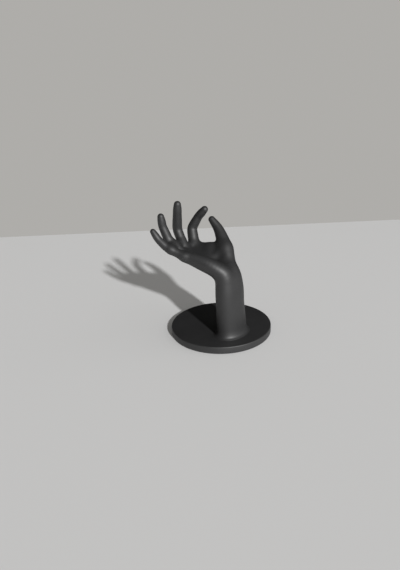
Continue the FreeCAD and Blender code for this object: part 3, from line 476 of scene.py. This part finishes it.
def settle(points, step):
    """Slide points along the slope of the distance, until they lie on the skin."""
    for turn in range(SETTLING_TURNS):
        slope = np.stack([skin_distance(points + shift) - skin_distance(points - shift)
                          for shift in np.eye(3) * PROBE], -1) / (2 * PROBE)
        steepness = np.maximum((slope * slope).sum(-1), LEAST_STEEPNESS)
        move = slope * (skin_distance(points) / steepness)[:, None]
        points = points - np.clip(move, -step, step)
    return points


skin_points, skin_quads = draw_skin(SKIN_LOW, SKIN_HIGH, SKIN_STEP)
skin_points = settle(skin_points, SKIN_STEP)
print("skin quads:", len(skin_quads), "box", skin_points.min(0).round(1), skin_points.max(0).round(1))

# %% [markdown]
# The grid may list a quad's corners either way round. The volume that the quads enclose tells which: it
# is less than nought when they face inwards, and then every quad is turned over.

# %% The skin becomes a mesh
def enclosed(points, quads):
    """Volume inside closed quads, from the pyramids between each half of a quad and the origin."""
    a, b, c, d = (points[quads[:, corner]] for corner in range(4))
    halves = np.einsum("ij,ij->i", a, np.cross(b, c)) + np.einsum("ij,ij->i", a, np.cross(c, d))
    return halves.sum() / 6


def mesh_object(name, points, faces):
    mesh = bpy.data.meshes.new(name)
    mesh.from_pydata([tuple(point) for point in points], [], [tuple(int(i) for i in face) for face in faces])
    mesh.validate()
    mesh.shade_smooth()
    thing = bpy.data.objects.new(name, mesh)
    bpy.context.collection.objects.link(thing)
    return thing


if enclosed(skin_points, skin_quads) < 0:
    skin_quads = skin_quads[:, ::-1]
hand_skin = mesh_object("hand_skin", skin_points * MM, skin_quads)
print("wood in the hand:", round(enclosed(skin_points, skin_quads) / 1000), "cm3")

# %% [markdown]
# Node trees are easier to read as sums than as boxes and wires. Wire stands for one output of a node and
# can be added and multiplied, and Tree makes any node in one call: its type, its settings, and then what
# goes into its sockets. Its feed links a wire to a node that is there already.

# %% A short way to write node trees
class Wire:
    """One output of a node, which takes part in sums."""

    def __init__(self, tree, socket):
        self.tree = tree
        self.socket = socket

    def maths(self, operation, first, second):
        return self.tree.add("ShaderNodeMath", {"operation": operation}, {0: first, 1: second})

    def __add__(self, other):
        return self.maths("ADD", self, other)

    def __radd__(self, other):
        return self.maths("ADD", other, self)

    def __mul__(self, other):
        return self.maths("MULTIPLY", self, other)

    def __rmul__(self, other):
        return self.maths("MULTIPLY", other, self)


class Tree:
    """A node tree that is written line by line."""

    def __init__(self, tree):
        self.tree = tree

    def add(self, kind, settings=None, values=None, output=0):
        node = self.tree.nodes.new(kind)
        for name, value in (settings or {}).items():
            setattr(node, name, value)
        for key, value in (values or {}).items():
            if isinstance(value, Wire):
                self.feed(node, key, value)
            else:
                node.inputs[key].default_value = value
        return Wire(self, node.outputs[output])

    def feed(self, node, key, wire):
        self.tree.links.new(wire.socket, node.inputs[key])


print("sums on wires:", [name for name in vars(Wire) if name.startswith("__r")])

# %% [markdown]
# The disc was turned on a lathe, so it follows one rule: an outline of radii and heights goes once round
# an axis. The outline is a curve with a recess for the felt, a deeper one for the steel plate, and a
# rounded rim. A node tree sweeps it round a circle, as the lathe did. The holes under the plate stay in
# the packed model alone, because nothing shows them.

# %% The disc's outline
felt_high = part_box("felt_pad")[1]
plate_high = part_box("weight_plate")[1]
RADIUS = disc_high.y
FIT_GAP = 0.3 * MM
RIM_ROUNDS = {"top": 1.6 * MM, "bottom": 1.0 * MM}


def quarter_round(centre_radius, centre_height, size, start_degrees, steps=6):
    points = []
    for step in range(steps + 1):
        turn = math.radians(start_degrees + 90 * step / steps)
        points.append((centre_radius + size * math.cos(turn), centre_height + size * math.sin(turn)))
    return points


def disc_outline():
    """Radius and height along the outline, from the underside's middle to the top's middle."""
    felt_edge = felt_high.x + FIT_GAP
    plate_edge = plate_high.x + FIT_GAP
    low, high = RIM_ROUNDS["bottom"], RIM_ROUNDS["top"]
    points = [(0, plate_high.z), (plate_edge, plate_high.z), (plate_edge, felt_high.z),
              (felt_edge, felt_high.z), (felt_edge, disc_low.z)]
    points += quarter_round(RADIUS - low, disc_low.z + low, low, -90)
    points += quarter_round(RADIUS - high, disc_high.z - high, high, 0)
    return points + [(0, disc_high.z)]


def outline_curve(name, points):
    """A curve through an outline, its rim at the origin, so that it can be carried round a circle."""
    curve = bpy.data.curves.new(name, "CURVE")
    curve.dimensions = "3D"
    spline = curve.splines.new("POLY")
    spline.points.add(len(points) - 1)
    for point, (radius, height) in zip(spline.points, points):
        point.co = (radius - RADIUS, -height, 0, 1)
    thing = bpy.data.objects.new(name, curve)
    bpy.context.collection.objects.link(thing)
    return thing


turned_disc = outline_curve("turned_disc", disc_outline())
print("disc across", round(2 * RADIUS / MM, 1), "mm, outline points:", len(disc_outline()))

# %% [markdown]
# The tree takes the outline and gives a solid. Its sizes are named inputs, so that the same tree would turn
# a smaller disc. Curve to Mesh carries the outline round the circle with X pointing outwards and Y down,
# and Merge by Distance closes the middle.

# %% A tree that turns the disc
def new_geometry_tree(name, inputs):
    group = bpy.data.node_groups.new(name, "GeometryNodeTree")
    group.interface.new_socket("Geometry", in_out="INPUT", socket_type="NodeSocketGeometry")
    keys = {}
    for label, kind in inputs.items():
        keys[label] = group.interface.new_socket(label, in_out="INPUT", socket_type=kind).identifier
    group.interface.new_socket("Geometry", in_out="OUTPUT", socket_type="NodeSocketGeometry")
    return group, keys


MERGE_DISTANCE = 0.01 * MM
TURNING_INPUTS = {"Radius": "NodeSocketFloat", "Segments": "NodeSocketInt", "Finish": "NodeSocketMaterial"}
turning, turning_keys = new_geometry_tree("turning", TURNING_INPUTS)
tree = Tree(turning)
source = turning.nodes.new("NodeGroupInput")
outline = Wire(tree, source.outputs["Geometry"])
round_path = tree.add("GeometryNodeCurvePrimitiveCircle", {}, {
    "Radius": Wire(tree, source.outputs["Radius"]), "Resolution": Wire(tree, source.outputs["Segments"])})
turned = tree.add("GeometryNodeCurveToMesh", {}, {"Curve": round_path, "Profile Curve": outline})
closed = tree.add("GeometryNodeMergeByDistance", {}, {"Geometry": turned, "Distance": MERGE_DISTANCE})
real = tree.add("GeometryNodeRealizeInstances", {}, {"Geometry": closed})
finished = tree.add("GeometryNodeSetMaterial", {}, {
    "Geometry": real, "Material": Wire(tree, source.outputs["Finish"])})
tree.feed(turning.nodes.new("NodeGroupOutput"), "Geometry", finished)
print("nodes in the turning tree:", len(turning.nodes))

# %% [markdown]
# A modifier runs the tree, and its result becomes a plain mesh. The modifier's inputs are set by their
# identifiers before the tree runs for the first time.

# %% From a tree to a plain mesh
def run_tree(thing, name, group, keys, values):
    """Run a node tree on an object and give its result as a plain mesh object."""
    modifier = thing.modifiers.new(name, "NODES")
    modifier.node_group = group
    for label, value in values.items():
        modifier[keys[label]] = value
    evaluated = thing.evaluated_get(bpy.context.evaluated_depsgraph_get())
    mesh = bpy.data.meshes.new_from_object(evaluated)
    mesh.name = name
    result = bpy.data.objects.new(name, mesh)
    bpy.context.collection.objects.link(result)
    bpy.data.objects.remove(thing)
    return result


def face_outwards(thing):
    """Point all faces of a closed mesh outwards."""
    work = bmesh.new()
    work.from_mesh(thing.data)
    bmesh.ops.recalc_face_normals(work, faces=work.faces)
    work.to_mesh(thing.data)
    work.free()


DISC_SEGMENTS = 192
SHARP_FROM = math.radians(35)
black_lacquer = bpy.data.materials.new("black_lacquer")
turned_disc = run_tree(turned_disc, "lacquered_disc", turning, turning_keys,
                       {"Radius": RADIUS, "Segments": DISC_SEGMENTS, "Finish": black_lacquer})
face_outwards(turned_disc)
turned_disc.data.shade_smooth()
turned_disc.data.set_sharp_from_angle(angle=SHARP_FROM)
hand_skin.data.materials.append(black_lacquer)
print("disc faces:", len(turned_disc.data.polygons))

# %% [markdown]
# Satin lacquer over wood: nearly black, with a soft gloss. Up close the coat isn't perfect. It is a little
# thicker here and thinner there, which shows as slow changes in gloss, and fine pores and brush marks lie
# under it. The pattern is measured in metres on the object itself, so it stays put from any side.

# %% Black lacquer
# A Mix node lists its colour sockets after the ones for numbers and vectors
MIX_SHARE, MIX_FIRST, MIX_SECOND, MIX_RESULT = 0, 6, 7, 2


def start_material(material, **constants):
    """Set a shader's constants; give the material's tree, the shader and the place on the object."""
    material.use_nodes = True
    tree = Tree(material.node_tree)
    shader = material.node_tree.nodes["Principled BSDF"]
    for name, value in constants.items():
        shader.inputs[name.replace("_", " ")].default_value = value
    place = tree.add("ShaderNodeTexCoord", output="Object")
    return tree, shader, place


def noise(tree, place, scale, detail=2.0, rough=0.5, stretch=(1, 1, 1)):
    """Noise on the object, finer along an axis where the stretch is larger."""
    stretched = tree.add("ShaderNodeMapping", {}, {"Vector": place, "Scale": stretch})
    return tree.add("ShaderNodeTexNoise", {}, {
        "Vector": stretched, "Scale": scale, "Detail": detail, "Roughness": rough})


def between_colours(tree, share, first, second):
    return tree.add("ShaderNodeMix", {"data_type": "RGBA"}, {
        MIX_SHARE: share, MIX_FIRST: (*first, 1), MIX_SECOND: (*second, 1)}, MIX_RESULT)


def bump(tree, height, distance, strength=1.0):
    return tree.add("ShaderNodeBump", {}, {"Height": height, "Distance": distance, "Strength": strength})


def finish_black_lacquer(material):
    tree, shader, place = start_material(material, Specular_IOR_Level=0.7)
    clouds = noise(tree, place, scale=38, detail=3)
    pores = noise(tree, place, scale=260, detail=4, rough=0.6, stretch=(0.25, 1, 1))
    brush = noise(tree, place, scale=900, stretch=(0.05, 1, 1))
    dark, light = (0.011, 0.011, 0.0114), (0.020, 0.020, 0.0206)
    tree.feed(shader, "Base Color", between_colours(tree, clouds * 0.7 + pores * 0.3, dark, light))
    tree.feed(shader, "Roughness", 0.49 + clouds * 0.08 + pores * 0.04)
    tree.feed(shader, "Normal", bump(tree, pores * 0.6 + brush * 0.4, distance=0.06 * MM, strength=0.3))


finish_black_lacquer(black_lacquer)
print("lacquer nodes:", len(black_lacquer.node_tree.nodes))

# %% [markdown]
# What the lacquer hides keeps its own look: beech dowels with fine grain, turned steel with faint rings,
# brass that has dulled a little, and pressed wool felt.

# %% Wood, metals and felt
def finish_beech(material):
    tree, shader, place = start_material(material, Specular_IOR_Level=0.4)
    grain = noise(tree, place, scale=420, detail=4, rough=0.6, stretch=(1, 1, 0.12))
    flecks = noise(tree, place, scale=1600, stretch=(1, 1, 0.3))
    dark, light = (0.42, 0.25, 0.13), (0.62, 0.42, 0.25)
    tree.feed(shader, "Base Color", between_colours(tree, grain, dark, light))
    tree.feed(shader, "Roughness", 0.55 + flecks * 0.15)
    tree.feed(shader, "Normal", bump(tree, grain, distance=0.05 * MM))


def finish_metal(material, dark, light, roughness):
    tree, shader, place = start_material(material, Metallic=1.0)
    fine_lines = noise(tree, place, scale=900, detail=3, rough=0.6, stretch=(1, 1, 8))
    tarnish = noise(tree, place, scale=90, detail=3)
    tree.feed(shader, "Base Color", between_colours(tree, tarnish, dark, light))
    tree.feed(shader, "Roughness", roughness + fine_lines * 0.14)
    tree.feed(shader, "Normal", bump(tree, fine_lines, distance=0.01 * MM))


def finish_felt(material):
    tree, shader, place = start_material(material, Specular_IOR_Level=0.15)
    fibres = noise(tree, place, scale=1500, detail=4, rough=0.7)
    patches = noise(tree, place, scale=60)
    dark, light = (0.012, 0.012, 0.013), (0.045, 0.045, 0.048)
    tree.feed(shader, "Base Color", between_colours(tree, fibres * 0.6 + patches * 0.4, dark, light))
    tree.feed(shader, "Roughness", 0.88 + fibres * 0.1)
    tree.feed(shader, "Normal", bump(tree, fibres, distance=0.3 * MM))


beech = bpy.data.materials.new("beech")
steel = bpy.data.materials.new("bright_steel")
brass = bpy.data.materials.new("dull_brass")
felt = bpy.data.materials.new("wool_felt")
finish_beech(beech)
finish_metal(steel, dark=(0.45, 0.46, 0.47), light=(0.60, 0.61, 0.62), roughness=0.26)
finish_metal(brass, dark=(0.55, 0.38, 0.16), light=(0.72, 0.53, 0.25), roughness=0.24)
finish_felt(felt)
FINISHES = {"dowel_wood": beech, "steel": steel, "brass": brass, "felt": felt}
slot_names = {row["node"]: row["material_slot"] for row in frame["record"]["subparts"]}
dressed = [name for name in nodes if slot_names.get(name) in FINISHES]
for name in dressed:
    nodes[name].data.materials.clear()
    nodes[name].data.materials.append(FINISHES[slot_names[name]])
print("dressed packed nodes:", len(dressed))

# %% [markdown]
# The object stands on a plain pale floor, with a plain pale room behind it. A key lamp at the right in
# front gives the long highlight on the heel of the hand and throws the shadow to the left. A much wider
# and weaker lamp fills from the right. The room lights everything softly, and is dim in the lacquer.

# %% Floor, lights and camera
FLOOR_HALF = 3.0
FLOOR_END = 0.70
floor_corners = [(-FLOOR_HALF, -FLOOR_HALF, 0), (FLOOR_HALF, -FLOOR_HALF, 0),
                 (FLOOR_HALF, FLOOR_END, 0), (-FLOOR_HALF, FLOOR_END, 0)]
pale_floor = mesh_object("pale_floor", floor_corners, [(0, 1, 2, 3)])
plain_paint = bpy.data.materials.new("plain_pale_paint")
start_material(plain_paint, Base_Color=(0.62, 0.62, 0.62, 1), Roughness=0.7, Specular_IOR_Level=0.2)
pale_floor.data.materials.append(plain_paint)


def add_lamp(name, place, aim, width, strength):
    """A far lamp in a direction from a place to an aim, as wide as an angle in the sky."""
    light = bpy.data.lights.new(name, "SUN")
    light.angle = width
    light.energy = strength
    lamp = bpy.data.objects.new(name, light)
    lamp.location = place
    lamp.rotation_euler = (aim - place).to_track_quat("-Z", "Y").to_euler()
    bpy.context.collection.objects.link(lamp)


add_lamp("key", place=Vector((0.19, -0.545, 0.47)), aim=Vector((-0.06, 0.0, 0.175)),
         width=math.radians(2.5), strength=4.0)
add_lamp("fill", place=Vector((1.0, -0.35, 0.6)), aim=Vector((0.0, 0.0, 0.1)),
         width=math.radians(70.0), strength=0.5)


def light_room(name, colour, fill, seen, mirrored):
    """A plain room: one strength as fill light, one as the background and one as it is mirrored."""
    room = bpy.data.worlds.new(name)
    room.use_nodes = True
    tree = Tree(room.node_tree)
    background = room.node_tree.nodes["Background"]
    background.inputs["Color"].default_value = (*colour, 1)
    rays = room.node_tree.nodes.new("ShaderNodeLightPath")
    strength = (fill + Wire(tree, rays.outputs["Is Camera Ray"]) * (seen - fill)
                + Wire(tree, rays.outputs["Is Glossy Ray"]) * (mirrored - fill))
    tree.feed(background, "Strength", strength)
    return room


bpy.context.scene.world = light_room("pale_room", (0.99, 0.97, 0.93), fill=0.25, seen=0.43, mirrored=0.02)
bpy.context.scene.view_settings.view_transform = "Standard"

CAMERA_PLACE = Vector((-34.11, -714.46, 375.32)) * MM
PITCH = math.radians(22.02)
CAMERA_ROLL = math.radians(2.55)
LENS = 28.42
level_right = Vector((1, 0, 0))
level_up = Vector((0, math.sin(PITCH), math.cos(PITCH)))
forward = Vector((0, math.cos(PITCH), -math.sin(PITCH)))
right = level_right * math.cos(CAMERA_ROLL) - level_up * math.sin(CAMERA_ROLL)
up = level_right * math.sin(CAMERA_ROLL) + level_up * math.cos(CAMERA_ROLL)
camera_data = bpy.data.cameras.new("camera")
camera_data.lens = LENS
camera = bpy.data.objects.new("camera", camera_data)
camera.matrix_world = Matrix.Translation(CAMERA_PLACE) @ Matrix((right, up, -forward)).transposed().to_4x4()
bpy.context.collection.objects.link(camera)
bpy.context.scene.camera = camera
print("camera looks down by", round(math.degrees(PITCH)), "degrees")

# %% [markdown]
# Last, the packed nodes that the new pieces stand for are hidden, and each new piece is hung on the body
# that carries it. Nothing moves on this object, so its one body carries everything.

# %% Tie everything to the packed model
HAND_NODES = ("forearm", "palm", "thumb", "index_finger", "middle_finger", "ring_finger", "little_finger")
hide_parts(*HAND_NODES)
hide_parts("base_disc")
for piece in (hand_skin, turned_disc):
    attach(piece, "root")
